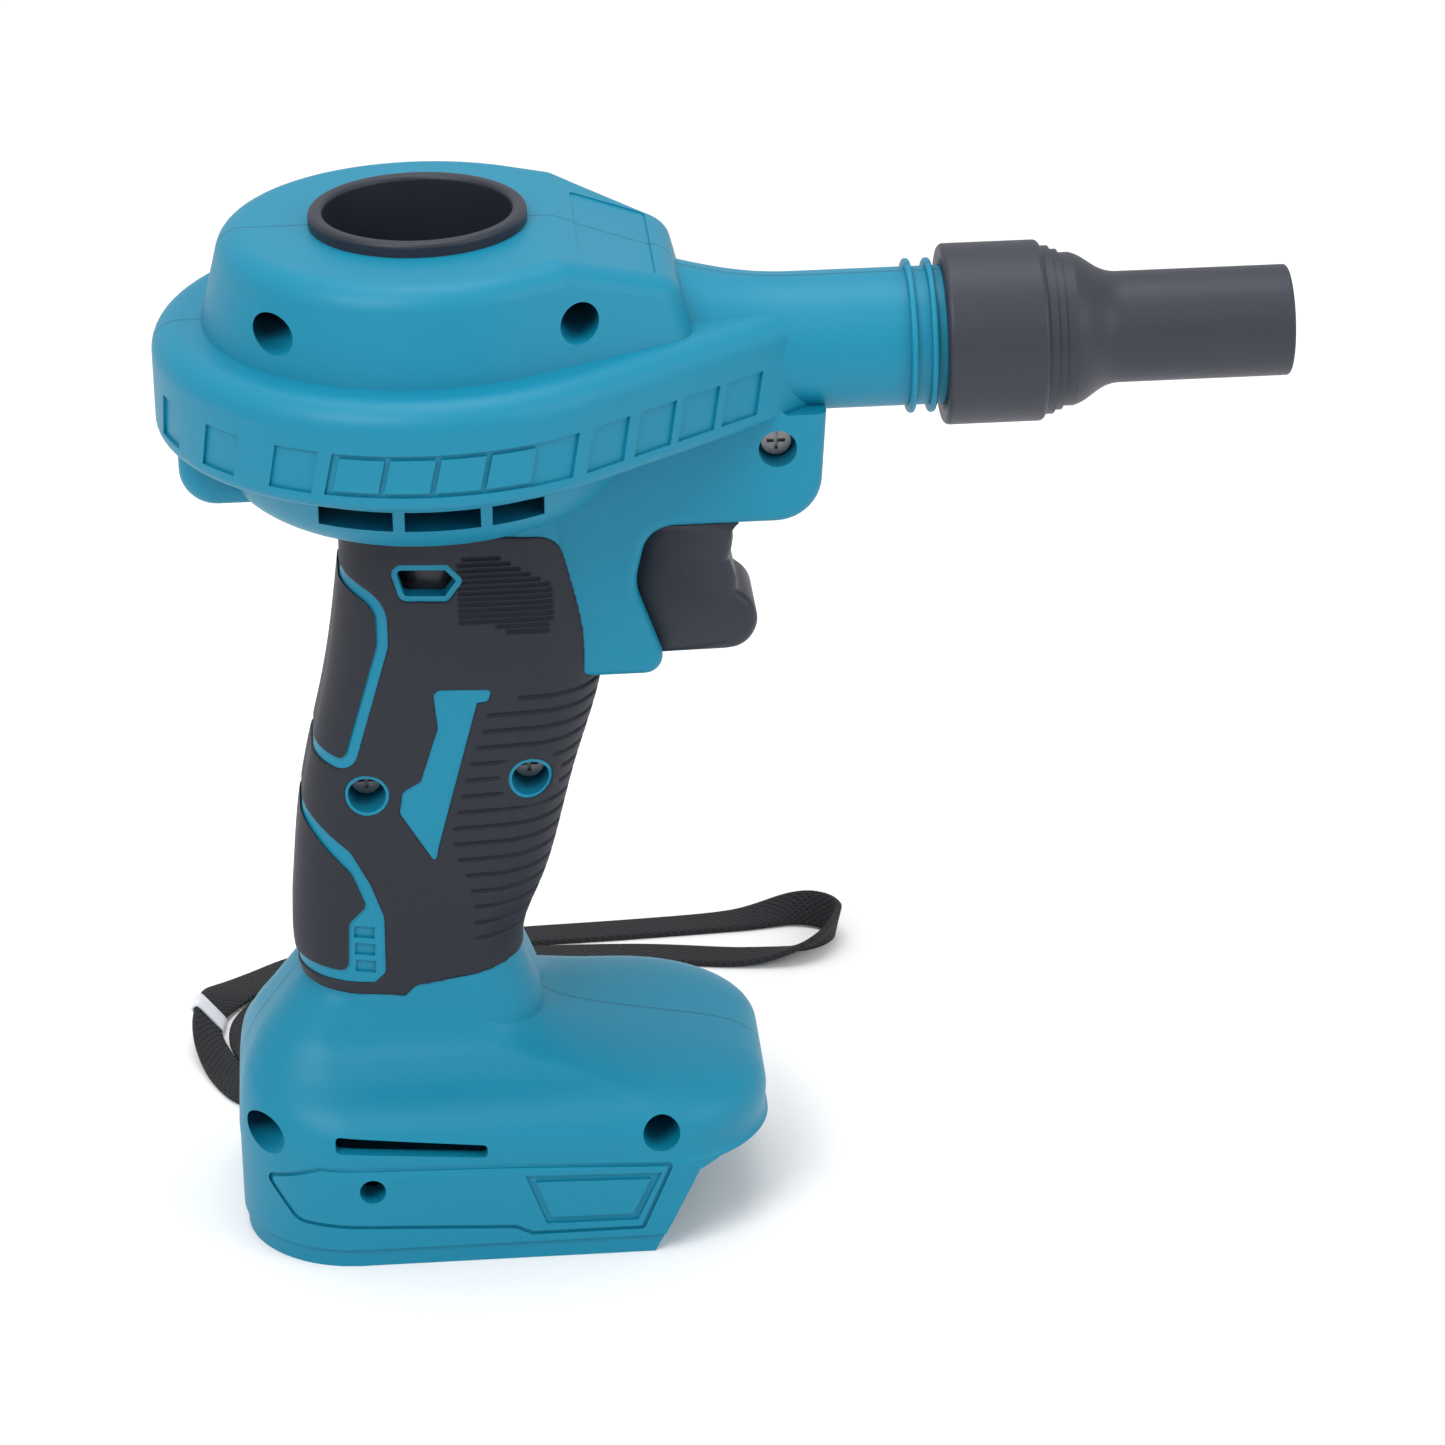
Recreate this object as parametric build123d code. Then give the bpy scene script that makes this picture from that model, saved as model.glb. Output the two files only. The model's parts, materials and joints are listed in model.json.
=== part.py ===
from build123d import *
import os
from math import acos, atan2, cos, radians, sin

# Cordless leaf blower, in millimetres. While it is drawn, X = 0 and Y = 0 are the fan axis, +X is the way
# the air blows, Y = 0 is the parting plane of the two housing halves and Z = 0 is the floor.

# Head: the round fan housing with its dome, and the neck that leads the air out
rim_radius = 57.2
rim_top_z = 210.0
rim_bottom_z = 187.0
rim_top_round = 6.0
rim_bottom_round = 2.5
rim_neck_x = 70.0
dome_foot_radius = 46.5
dome_foot_front_x = 56.0
dome_foot_front_half = 26.0
dome_corner = 7.0
dome_lean = 5.0
dome_top_z = 230.0
dome_round = 6.0
dome_slope_start_x = 28.0
dome_slope_end_z = 222.0
label_depth = 0.35
bowl_profile = [(48.0, 186.5), (45.2, 181.0), (42.0, 175.5), (37.0, 171.5), (28.0, 168.6), (15.0, 167.0)]
motor_room_floor_z = 143.0
neck_axis_z = 199.5
neck_radius = 14.8
neck_end_x = 132.0
neck_straight_x = 78.0
neck_bore_radius = 12.0
neck_rib_radius = 16.5
neck_rib_width = 1.4
neck_rib_xs = [102.6, 107.0]
shell = 3.0

# Decoration of the rim and slots of the bowl
panel_z = 195.2
panel_angles = [-159, -139, -119.5, -63.5, -50]
panel_steps = [15.5, 27.5, 39.5]
slot_spans = [(-23.5, -8.2), (-5.8, 10), (12.4, 23.4)]
slot_z = 177.4
slot_height = 5.4

# Chambers inside the head
chamber_floor_z = 190.0
chamber_top_z = 206.5
deck_floor_z = 187.5
deck_top_z = 209.5

# Intake ring and nozzle
intake_radius = 19.9
intake_sleeve_radius = 21.5
intake_flange_radius = 23.0
intake_proud = 3.0
fit_gap = 0.15
slide_gap = 0.4
nozzle_start_x = 110.3
nozzle_collar_end_x = 131.8
nozzle_collar_radius = 19.35
nozzle_tip_x = 185.1
nozzle_tip_radius = 11.9
nozzle_wall = 1.9

# Handle: height, back, front and half width of each level
handle_levels = [
    (40, -33.0, 15.5, 19.6),
    (62, -33.4, 17.0, 19.2),
    (78, -33.4, 21.3, 18.8),
    (93, -31.8, 26.0, 18.8),
    (108, -29.0, 30.0, 19.0),
    (120, -26.0, 33.8, 19.2),
    (131, -23.6, 36.3, 19.2),
    (145, -21.4, 36.0, 19.0),
    (160, -19.5, 33.0, 18.8),
    (172, -18.5, 31.0, 18.6),
]
handle_corner = 14.0
grip_step = 0.5
grip_depth = 2.0
handle_wall = 4.4

# Base: height, back, front, half width and corner radius of each level
base_levels = [
    (22, -48.0, 70.0, 39.0, 26.0),
    (28, -47.9, 69.7, 38.6, 25.8),
    (33, -47.3, 68.2, 37.0, 25.0),
    (36.5, -46.6, 63.0, 33.6, 23.0),
    (39.5, -45.4, 51.0, 28.8, 20.0),
    (43, -43.6, 33.0, 24.4, 17.0),
    (47, -40.8, 21.4, 21.2, 15.0),
    (52, -37.0, 17.6, 19.7, 14.0),
    (58, -31.0, 14.0, 16.6, 12.0),
]
base_step_height = 4.5
base_step = 0.8
channel_half = 31.0
channel_back_x = -34.0
channel_top_z = 18.0
channel_floor_top_z = base_levels[0][0]
rail_reach = 3.0
hook_hole = (-19.1, 19.0)
hook_hole_radius = 2.9

# Front block, trigger and switch
front_half = 15.5
bay_half = 11.3
bay_floor_z = 132.0
bay_top_z = 163.5
trigger_half = bay_half - slide_gap
trigger_back_x = 35.5
switch_front_x = 26.0
plunger_radius = 4.0

# Motor and fan
motor_radius = 14.0
motor_bottom_z = 153.0
cap_height = 3.5
shaft_radius = 1.6
impeller_radius = 47.0
impeller_plate_z = 192.0
impeller_plate = 1.4
impeller_top_z = 203.5
blade_count = 11
blade_thickness = 1.3

# Screws that join the halves: X and Z of each
screw_spots = [(-31, 218), (32, 218), (74, 181), (-16.3, 105.6), (19.2, 107.8), (44.7, 29.4), (-42.0, 29.4)]
screw_radius = 1.45
screw_head_radius = 3.2
screw_head_height = 2.4
screw_length = 17.0
screw_seat_y = -8.0
screw_bore_radius = 4.1
boss_radius = 5.4

# Wrist strap on the floor behind the base
strap_width = 8.8
strap_thickness = 1.5
strap_anchor = (-20.0, 11.0)
strap_angle = 122.0
strap_pin_reach = 22.0
strap_leg_offset = 5.2
strap_pin_radius = 1.5
strap_route = [
    (-48.5, 43.5), (-54, 56), (-57, 70), (-54.5, 84), (-45, 98), (-28, 109), (5, 114.5), (45, 116.5),
    (72, 118), (88, 118.5), (97, 110), (90, 99.5), (74, 98.5), (45, 103.5), (5, 104.8), (-24.5, 100),
    (-37.6, 90.0), (-44.4, 80.0), (-46.3, 70.5), (-44.2, 60.0), (-40, 49.5),
]
clip_place = 0.1285
clip_length = 5.5
clip_gap = 0.25
clip_wall = 0.7

far = 200.0
x_middle = (nozzle_tip_x - rim_radius) / 2


def prism(sketch, depth):
    """Extrude an X-Z drawing from the parting plane to the near side."""
    return extrude(Plane.XZ * sketch, amount=depth, dir=(0, -1, 0))


def both_sides(sketch, half_depth):
    return extrude(Plane.XZ * sketch, amount=half_depth, both=True)


def rounded_polygon(points, rounds):
    """Polygon with the given radius at each numbered corner."""
    face = Polygon(*points, align=None)
    for index, radius in rounds.items():
        px, pz = points[index]
        corner = face.vertices().sort_by_distance((px, pz, 0))[0]
        face = fillet(corner, radius)
    return face


def box_between(x0, x1, y0, y1, z0, z1):
    return Pos((x0 + x1) / 2, (y0 + y1) / 2, (z0 + z1) / 2) * Box(x1 - x0, y1 - y0, z1 - z0)


def rod_y(x, z, radius, y0, y1):
    return Pos(x, (y0 + y1) / 2, z) * Rot(90, 0, 0) * Cylinder(radius, y1 - y0)


def rod_x(x0, x1, y, z, radius):
    return Pos((x0 + x1) / 2, y, z) * Rot(0, 90, 0) * Cylinder(radius, x1 - x0)


def rod_z(x, y, z0, z1, radius):
    return Pos(x, y, (z0 + z1) / 2) * Cylinder(radius, z1 - z0)


def level(z, back, front, half_width, corner):
    return Pos((back + front) / 2, 0, z) * RectangleRounded(front - back, 2 * half_width, corner)


def handle(inset):
    faces = []
    for z, back, front, half_width in handle_levels:
        faces.append(level(z, back + inset, front - inset, half_width - inset, handle_corner - inset))
    return loft(faces)


def base_bell(inset):
    """The base from its side walls up to the foot of the handle."""
    faces = []
    for z, back, front, half_width, corner in base_levels:
        faces.append(level(z, back + inset, front - inset, half_width - inset, corner - inset))
    return loft(faces)


def polar(radius, angle):
    return (radius * cos(angle), radius * sin(angle))


def drawn_out_circle(radius, corner_x, corner_y, corner_radius):
    """Circle round the fan axis, joined by tangent lines to a rounded end with two corners."""
    reach = (corner_x**2 + corner_y**2) ** 0.5
    angle = atan2(corner_y, corner_x) + acos((radius - corner_radius) / reach)
    side = polar(radius, angle)
    dx, dy = polar(corner_radius, angle)
    end = (corner_x + dx, corner_y + dy)
    mx, my = polar(corner_radius, angle / 2)
    middle = (corner_x + mx, corner_y + my)
    tip = (corner_x + corner_radius, corner_y)
    with BuildSketch() as drawing:
        with BuildLine():
            ThreePointArc(side, (-radius, 0), (side[0], -side[1]))
            Line((side[0], -side[1]), (end[0], -end[1]))
            if corner_y > 0:
                ThreePointArc((end[0], -end[1]), (middle[0], -middle[1]), (tip[0], -tip[1]))
                Line((tip[0], -tip[1]), tip)
                ThreePointArc(tip, middle, end)
            else:
                ThreePointArc((end[0], -end[1]), tip, end)
            Line(end, side)
        make_face()
    return drawing.sketch


def rim_outline(inset):
    """The round fan housing drawn out to the neck."""
    return drawn_out_circle(rim_radius - inset, rim_neck_x, 0, neck_radius + 0.2 - inset)


def dome_outline(inset):
    corner_x = dome_foot_front_x - inset - dome_corner
    corner_y = dome_foot_front_half - inset - dome_corner
    return drawn_out_circle(dome_foot_radius - inset, corner_x, corner_y, dome_corner)


def rim():
    body = extrude(Pos(0, 0, rim_bottom_z) * rim_outline(0), amount=rim_top_z - rim_bottom_z)
    body = fillet(body.edges().group_by(Axis.Z)[-1], rim_top_round)
    return fillet(body.edges().group_by(Axis.Z)[0], rim_bottom_round)


def dome():
    low = Pos(0, 0, rim_top_z - 8) * dome_outline(-2)
    high = Pos(0, 0, dome_top_z) * dome_outline(dome_lean)
    body = loft([low, high], ruled=True)
    fall = (dome_top_z - dome_slope_end_z) / (dome_foot_front_x - dome_lean - dome_slope_start_x)
    slope = Polygon(
        (dome_slope_start_x, dome_top_z),
        (far, dome_top_z - fall * (far - dome_slope_start_x)),
        (far, far + 60),
        (dome_slope_start_x, far + 60),
        align=None,
    )
    body = body - both_sides(slope, far)
    border = [e for e in body.edges() if e.bounding_box().min.Z > rim_top_z]
    return fillet(border, dome_round) - label_field(fall)


def label_field(fall):
    """Bare shallow field on the slope of the dome."""
    spot = Plane(origin=(dome_slope_start_x, 0, dome_top_z), x_dir=(1, 0, -fall), z_dir=(fall, 0, 1))
    field = Pos(13.5, -6) * RectangleRounded(17, 26, 1.2)
    return extrude(spot * field, amount=label_depth, both=True)


def bowl():
    with BuildSketch(Plane.XZ) as drawing:
        with BuildLine():
            side_top = bowl_profile[0]
            bottom_edge = bowl_profile[-1]
            Line((0, rim_bottom_z + 6), (side_top[0] + 1.5, rim_bottom_z + 6))
            Line((side_top[0] + 1.5, rim_bottom_z + 6), side_top)
            Spline(bowl_profile)
            Line(bottom_edge, (0, bottom_edge[1]))
            Line((0, bottom_edge[1]), (0, rim_bottom_z + 6))
        make_face()
    return revolve(drawing.sketch, axis=Axis.Z)


def rear_block():
    drawing = rounded_polygon([(-52.6, 196), (-52.6, 173.5), (-28, 173.5), (-28, 196)], {1: 8})
    body = both_sides(drawing, 17)
    sides = [e for e in body.edges() if abs(abs(e.center().Y) - 17) < 0.01 and e.center().Z < 195]
    return fillet(sides, 4)


def neck():
    with BuildSketch(Plane.XZ) as drawing:
        with BuildLine():
            Line((38, 0), (38, 24))
            Spline(
                (38, 24), (57, 17.8), (neck_straight_x, neck_radius), tangents=((1, -0.4), (1, 0))
            )
            Line((neck_straight_x, neck_radius), (neck_end_x, neck_radius))
            Line((neck_end_x, neck_radius), (neck_end_x, 0))
            Line((neck_end_x, 0), (38, 0))
        make_face()
    body = Pos(0, 0, neck_axis_z) * revolve(drawing.sketch, axis=Axis.X)
    for x in neck_rib_xs:
        ring = rod_x(x, x + neck_rib_width, 0, neck_axis_z, neck_rib_radius)
        body = body + fillet(ring.edges().filter_by(GeomType.CIRCLE), neck_rib_width * 0.4)
    return body


def front_block():
    drawing = rounded_polygon(
        [
            (5, 194), (70, 194), (76, 188.5), (84.6, 188.5), (82.9, bay_top_z + 0.3), (46.2, bay_top_z + 0.3),
            (43.0, 150.5), (50.4, 129.5), (34, 129.5), (5, 146),
        ],
        {4: 10, 5: 7, 6: 12, 7: 4},
    )
    body = both_sides(drawing, front_half)
    sides = [e for e in body.edges() if abs(abs(e.center().Y) - front_half) < 0.01 and e.center().X > 30]
    sides = [e for e in sides if e.bounding_box().max.Z < 193.9 and e.center().Z < 188]
    sides = [e for e in sides if e.bounding_box().min.X > 33]
    return fillet(sides, 2.5)


def base():
    z, back, front, half_width, corner = base_levels[0]
    outline = level(0, back + base_step, front - base_step, half_width - base_step, corner - base_step)
    foot = extrude(outline, amount=base_step_height)
    wall = extrude(level(base_step_height, back, front, half_width, corner), amount=z - base_step_height)
    body = foot + wall + base_bell(0)
    nose = Polygon((42.7, -1), (42.7, 0), (53, 19.5), (58, 21.5), (90, 22.5), (90, -1), align=None)
    return body - both_sides(nose, far)


def outer_body():
    """Everything the housing fills, before it is hollowed."""
    head = rim() + bowl() + neck() + dome() + rear_block() + front_block()
    return head + (handle(grip_step) + base())


def hollow():
    """The rooms inside the housing."""
    chamber_height = chamber_top_z - chamber_floor_z
    chamber = extrude(Pos(0, 0, chamber_floor_z) * rim_outline(shell + 0.2), amount=chamber_height)
    attic = loft(
        [
            Pos(0, 0, deck_top_z) * dome_outline(shell + 0.5),
            Pos(0, 0, dome_slope_end_z - shell - 3) * dome_outline(shell + dome_lean * 0.6),
        ],
        ruled=True,
    )
    eye = rod_z(0, 0, deck_floor_z, far + 60, intake_sleeve_radius + fit_gap)
    shaft_hole = rod_z(0, 0, deck_floor_z - 5, chamber_floor_z + 1, 6.5)
    bore = rod_x(40, neck_end_x + 1, 0, neck_axis_z, neck_bore_radius)
    motor_room = rod_z(0, 0, motor_room_floor_z, deck_floor_z, motor_radius + 0.5)
    bowl_room = loft(
        [Pos(0, 0, 172) * Circle(26), Pos(0, 0, deck_floor_z) * Circle(rim_radius - 12)],
        ruled=True,
    )
    grip_room = handle(handle_wall) - box_between(-far, far, -far, far, 160, far)
    base_room = base_bell(shell) - box_between(-far, far, -far, far, -1, channel_floor_top_z)
    base_room = base_room - box_between(-far, far, -far, far, 50, far)
    block_room = box_between(52, 80, 3 - front_half, front_half - 3, bay_top_z + 3, deck_floor_z - 5)
    bay = box_between(2, 90, -bay_half, bay_half, bay_floor_z, bay_top_z)
    head_rooms = [chamber, attic, eye, shaft_hole, bore, motor_room, bowl_room]
    return head_rooms + [grip_room, base_room, block_room, bay]


def battery_channel():
    """The slot under the base that a slide-on battery goes into, with a rail on each side."""
    space = box_between(channel_back_x, far, -channel_half, channel_half, -1, channel_top_z)
    for sign in (-1, 1):
        middle = sign * (channel_half - rail_reach / 2)
        rail = box_between(channel_back_x - 1, 40, middle - rail_reach / 2, middle + rail_reach / 2, 4, 8)
        space = space - rail
    return space


def terminal_hole():
    return box_between(-30.3, -11.7, -15.3, 15.3, channel_top_z - 1, channel_floor_top_z + 1)


def band_panels():
    """Shallow slanted panels round the rim, and one long framed panel at the side."""
    skin = extrude(Pos(0, 0, rim_bottom_z) * rim_outline(-1), amount=rim_top_z - rim_bottom_z)
    deep = skin - extrude(Pos(0, 0, rim_bottom_z) * rim_outline(0.7), amount=rim_top_z - rim_bottom_z)
    slant = Polygon((-6.0, -4.7), (4.0, -4.7), (6.0, 4.7), (-4.0, 4.7), align=None)
    cut = []
    for angle in panel_angles:
        ax, ay = polar(rim_radius, radians(angle))
        spot = Plane(origin=(ax, ay, panel_z), x_dir=(-ay, ax, 0), z_dir=(ax, ay, 0))
        cut.append(extrude(spot * slant, amount=4, both=True))
    straight = acos((rim_radius - neck_radius) / rim_neck_x)
    nx, ny = polar(1, -straight)
    sx, sy = polar(rim_radius, -straight)
    for step in panel_steps:
        spot = Plane(origin=(sx - ny * step, sy + nx * step, panel_z), x_dir=(-ny, nx, 0), z_dir=(nx, ny, 0))
        cut.append(extrude(spot * slant, amount=4, both=True))
    frame = Polygon((-22, -4.6), (20, -4.6), (22, 4.6), (-20, 4.6), align=None)
    field = Sketch()
    for cell in range(4):
        x0 = -20.2 + cell * 10.4
        field += Polygon((x0, -3.6), (x0 + 9.2, -3.6), (x0 + 10.8, 3.6), (x0 + 1.6, 3.6), align=None)
    spot = Plane(origin=(0, -rim_radius, panel_z), x_dir=(1, 0, 0), z_dir=(0, -1, 0))
    cut.append(extrude(spot * (frame - field), amount=18, both=True))
    return [deep & piece for piece in cut]


def bowl_slots():
    slots = []
    for x0, x1 in slot_spans:
        slots.append(box_between(x0, x1, -60, -16, slot_z, slot_z + slot_height))
    return slots


def base_marks():
    """Belt hook slot and hole, and the grooves of the side panels of the base."""
    slot = Polygon((-26.8, 28.6), (6.4, 26.0), (6.4, 29.0), (-26.8, 32.2), align=None)
    slot = prism(fillet(slot.vertices(), 1.0), 60) - prism(slot, 30)
    hole = rod_y(hook_hole[0], hook_hole[1], hook_hole_radius, -60, -30)
    z, back, front, half_width, corner = base_levels[0]
    solid_base = extrude(level(-1, back + 0.7, front - 0.7, half_width - 0.7, corner - 0.7), amount=40)
    border = rounded_polygon(
        [(-43, 20), (-36, 10.5), (12, 8.0), (15.5, 6.2), (40.4, 6.2), (47.4, 22.5), (9, 24.0), (-30.5, 25.0)],
        {0: 2, 1: 4, 4: 1, 5: 1},
    )
    line = border - offset(border, -0.9)
    panel = Polygon((14.5, 21.0), (44.5, 20.2), (39.0, 8.6), (18.8, 8.8), align=None)
    panel_line = panel - offset(panel, -1.6)
    grooves = (prism(line, 60) - solid_base) + (prism(panel_line, 60) - solid_base)
    return [slot, hole, grooves]


def grip_regions():
    """X-Z drawings of the soft pads on one side of the handle."""
    whole = rounded_polygon(
        [
            (-45, 170), (26, 164), (30.6, 152), (36, 130.5), (60, 130.5), (60, 70), (16, 62.6), (-7.5, 59.2),
            (-10, 56.8), (-14, 57.4), (-60, 60.4),
        ],
        {1: 7, 3: 2.5},
    )
    upper = rounded_polygon(
        [(-50, 160), (-22, 153.6), (-12.8, 149.5), (-12.8, 141), (-21.0, 113.6), (-50, 120)],
        {2: 5, 3: 5, 4: 2},
    )
    lower = rounded_polygon(
        [(-50, 108), (-31.5, 98.2), (-20.5, 87), (-17.6, 79), (-21.6, 75), (-22.2, 63.4), (-50, 66)],
        {2: 6, 3: 1.5, 4: 2, 5: 2},
    )
    upper_rim = offset(upper, 2.5)
    lower_rim = rounded_polygon(
        [
            (-50, 111), (-31, 100.4), (-20.5, 92), (-16.5, 84), (-13.8, 76), (-14.0, 62.6), (-16.5, 60.4),
            (-60, 63.4),
        ],
        {2: 6, 4: 4, 5: 1.5},
    )
    fin = rounded_polygon(
        [
            (-1.2, 130.0), (11.5, 129.6), (10.6, 126.9), (8.2, 126.6), (-1.4, 92), (-2.0, 88.4), (-9.4, 101),
            (-8.6, 106.2), (-4.6, 108.4), (-0.4, 121),
        ],
        {0: 1.5, 2: 0.5, 6: 2, 7: 1.5, 9: 2},
    )
    side = whole - upper_rim - lower_rim - fin - offset(window(), 1.2)
    for x, z in screw_spots[3:5]:
        side = side - Pos(x, z) * Circle(screw_bore_radius + 0.7)
    return side, upper & whole, lower & whole


def window():
    outline = [(-8.1, 158.2), (2.5, 157.8), (4.8, 155.2), (2.3, 151.8), (-6.4, 152.2)]
    return rounded_polygon(outline, {0: 1, 4: 1})


def small_windows():
    marks = Sketch()
    for z in (63.2, 67.3, 71.4):
        marks += Polygon((-20.6, z), (-16.2, z - 0.6), (-16.0, z + 2.2), (-20.4, z + 2.8), align=None)
    return prism(marks, 60) - handle(grip_step + 0.8)


def bosses(outer):
    posts = []
    for x, z in screw_spots:
        posts.append(outer & rod_y(x, z, boss_radius, -80, 0))
    return posts


def near_shell(outer):
    """The near half of the housing without its screw holes."""
    body = outer & box_between(-far, far, -far, 0, -1, far + 60)
    for room in hollow():
        body = body - room
    for post in bosses(outer):
        body = body + post
    body = body - rod_z(0, 0, deck_floor_z, far + 60, intake_sleeve_radius + fit_gap)
    shelf = outer & box_between(12, 44, -16, 0, bay_floor_z - 2.5, bay_floor_z)
    body = body + shelf
    body = body - battery_channel() - terminal_hole()
    for mark in band_panels() + bowl_slots() + base_marks():
        body = body - mark
    body = body - prism(window(), 60) - small_windows()
    return body


def pads(regions):
    """Soft pads, and the beds they sit in, for the near side."""
    shell_of_grip = handle(0) - handle(grip_depth)
    for part in (rim(), bowl(), rear_block(), front_block(), base_bell(0)):
        shell_of_grip = shell_of_grip - part
    return [shell_of_grip & prism(region, 60) for region in regions]


def housing_halves():
    """Both halves and the soft pads of both sides."""
    outer = outer_body()
    shell_near = near_shell(outer)
    soft = pads(grip_regions())
    for pad in soft:
        shell_near = shell_near - pad
    shell_far = mirror(shell_near, about=Plane.XZ)
    for x, z in screw_spots:
        shell_near = shell_near - rod_y(x, z, screw_bore_radius, -80, screw_seat_y)
        shell_near = shell_near - rod_y(x, z, screw_radius + 0.25, screw_seat_y - 1, 1)
        shell_far = shell_far - rod_y(x, z, screw_radius + 0.05, -1, screw_length + screw_seat_y + 1)
    shell_far = shell_far - strap_notch()
    nodes = {"housing_near": shell_near, "housing_far": shell_far}
    for name, pad in zip(("side_grip", "upper_rear_pad", "lower_rear_pad"), soft):
        nodes[name + "_near"] = pad
        nodes[name + "_far"] = mirror(pad, about=Plane.XZ)
    return nodes


def housing_screws():
    group = []
    for x, z in screw_spots:
        head = rod_y(x, z, screw_head_radius, screw_seat_y - screw_head_height, screw_seat_y)
        slot = box_between(x - 2, x + 2, -60, screw_seat_y - 1.2, z - 0.4, z + 0.4)
        cross = box_between(x - 0.4, x + 0.4, -60, screw_seat_y - 1.2, z - 2, z + 2)
        shank = rod_y(x, z, screw_radius, screw_seat_y, screw_seat_y + screw_length)
        group.append((head - slot - cross) + shank)
    return group


def intake_ring():
    """Collar round the air intake, standing a little proud of the dome."""
    with BuildSketch(Plane.XZ) as drawing:
        with BuildLine():
            top = dome_top_z + intake_proud
            Polyline(
                (intake_radius, top),
                (intake_flange_radius, top),
                (intake_flange_radius, dome_top_z),
                (intake_sleeve_radius, dome_top_z),
                (intake_sleeve_radius, chamber_top_z),
                (intake_radius, chamber_top_z),
                (intake_radius, top),
            )
        make_face()
    body = revolve(drawing.sketch, axis=Axis.Z)
    return fillet(body.edges().group_by(Axis.Z)[-1], 1.1)


def blow_nozzle():
    """Push-fit nozzle: collar, three small steps, a taper and the tip tube."""
    gap_radius = neck_radius + fit_gap
    with BuildSketch(Plane.XZ) as drawing:
        with BuildLine():
            inner = nozzle_tip_radius - nozzle_wall
            Polyline(
                (nozzle_start_x, gap_radius),
                (nozzle_start_x, nozzle_collar_radius),
                (nozzle_collar_end_x, nozzle_collar_radius),
                (nozzle_collar_end_x, 18.0),
                (133.7, 18.0),
                (133.7, 17.2),
                (135.5, 17.2),
                (135.5, 16.4),
                (138.2, 16.4),
            )
            Spline((138.2, 16.4), (148.5, nozzle_tip_radius), tangents=((1, -0.25), (1, 0)))
            Polyline(
                (148.5, nozzle_tip_radius), (nozzle_tip_x, nozzle_tip_radius), (nozzle_tip_x, inner), (149.5, inner)
            )
            Spline((149.5, inner), (neck_end_x + 2, neck_bore_radius + 1), tangents=((-1, 0), (-1, 0.2)))
            Polyline(
                (neck_end_x + 2, neck_bore_radius + 1),
                (neck_end_x + 0.4, neck_bore_radius + 1),
                (neck_end_x + 0.4, gap_radius),
                (nozzle_start_x, gap_radius),
            )
        make_face()
    body = Pos(0, 0, neck_axis_z) * revolve(drawing.sketch, axis=Axis.X)
    rounds = [e for e in body.edges().filter_by(GeomType.CIRCLE) if abs(e.center().X - nozzle_tip_x) < 0.01]
    body = fillet(rounds, 0.7)
    circles = body.edges().filter_by(GeomType.CIRCLE)
    collar = [e for e in circles if abs(e.radius - nozzle_collar_radius) < 0.01]
    return fillet(collar, 1.2)


def trigger():
    """Finger lever that slides back into the handle, with a hollowed finger face."""
    drawing = rounded_polygon(
        [
            (trigger_back_x, 162.6), (65.4, 162.6), (62.4, 152.0), (65.2, 145.0), (69.4, 140.6), (68.8, 135.6),
            (64, bay_floor_z + 0.5), (trigger_back_x, bay_floor_z + 0.5),
        ],
        {1: 2.0, 2: 7, 3: 4, 4: 1.6, 5: 2.5, 6: 4},
    )
    body = both_sides(drawing, trigger_half)
    sides = [e for e in body.edges() if abs(abs(e.center().Y) - trigger_half) < 0.01]
    front = [e for e in sides if e.bounding_box().min.X > 60]
    return fillet(front, 2.2)


def trigger_plunger():
    return rod_x(switch_front_x - 9, trigger_back_x, 0, 140, plunger_radius)


def switch_body():
    block = box_between(0, switch_front_x, 0.3 - bay_half, bay_half - 0.3, bay_floor_z, 147)
    block = fillet(block.edges().filter_by(Axis.Z), 1.2)
    return block - rod_x(8, switch_front_x + 1, 0, 140, plunger_radius + 0.3)


def motor_can():
    body = rod_z(0, 0, motor_bottom_z, deck_floor_z, motor_radius)
    body = body + rod_z(0, 0, deck_floor_z, chamber_floor_z - 0.5, 5)
    body = body - rod_z(0, 0, motor_bottom_z - 1, deck_floor_z - 1.2, motor_radius - 1.2)
    return body - rod_z(0, 0, motor_bottom_z, far, 4)


def motor_end_cap():
    body = rod_z(0, 0, motor_bottom_z - cap_height, motor_bottom_z, motor_radius)
    return body - rod_z(0, 0, motor_bottom_z - cap_height - 1, motor_bottom_z + 1, 4)


def motor_bearings():
    upper = rod_z(0, 0, deck_floor_z - 3, chamber_floor_z - 0.5, 4)
    lower = rod_z(0, 0, motor_bottom_z - cap_height, motor_bottom_z, 4)
    bore = rod_z(0, 0, 0, far, shaft_radius + 0.05)
    return [upper - bore, lower - bore]


def motor_magnets():
    ring = rod_z(0, 0, 160, 180, motor_radius - 1.2) - rod_z(0, 0, 159, 181, motor_radius - 3.4)
    gap = box_between(-20, 20, -2, 2, 150, 190)
    return (ring - gap).solids()


def motor_shaft():
    return rod_z(0, 0, motor_bottom_z - cap_height - 1, impeller_top_z + 2, shaft_radius)


def rotor_core():
    body = rod_z(0, 0, 161, 179, motor_radius - 4.2)
    for turn in range(5):
        slot = Rot(0, 0, 72 * turn) * box_between(5, 11, -1.2, 1.2, 150, 190)
        body = body - slot
    return body - rod_z(0, 0, 150, 190, shaft_radius)


def commutator():
    return rod_z(0, 0, 154.5, 160, 4.5) - rod_z(0, 0, 150, 190, shaft_radius)


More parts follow.
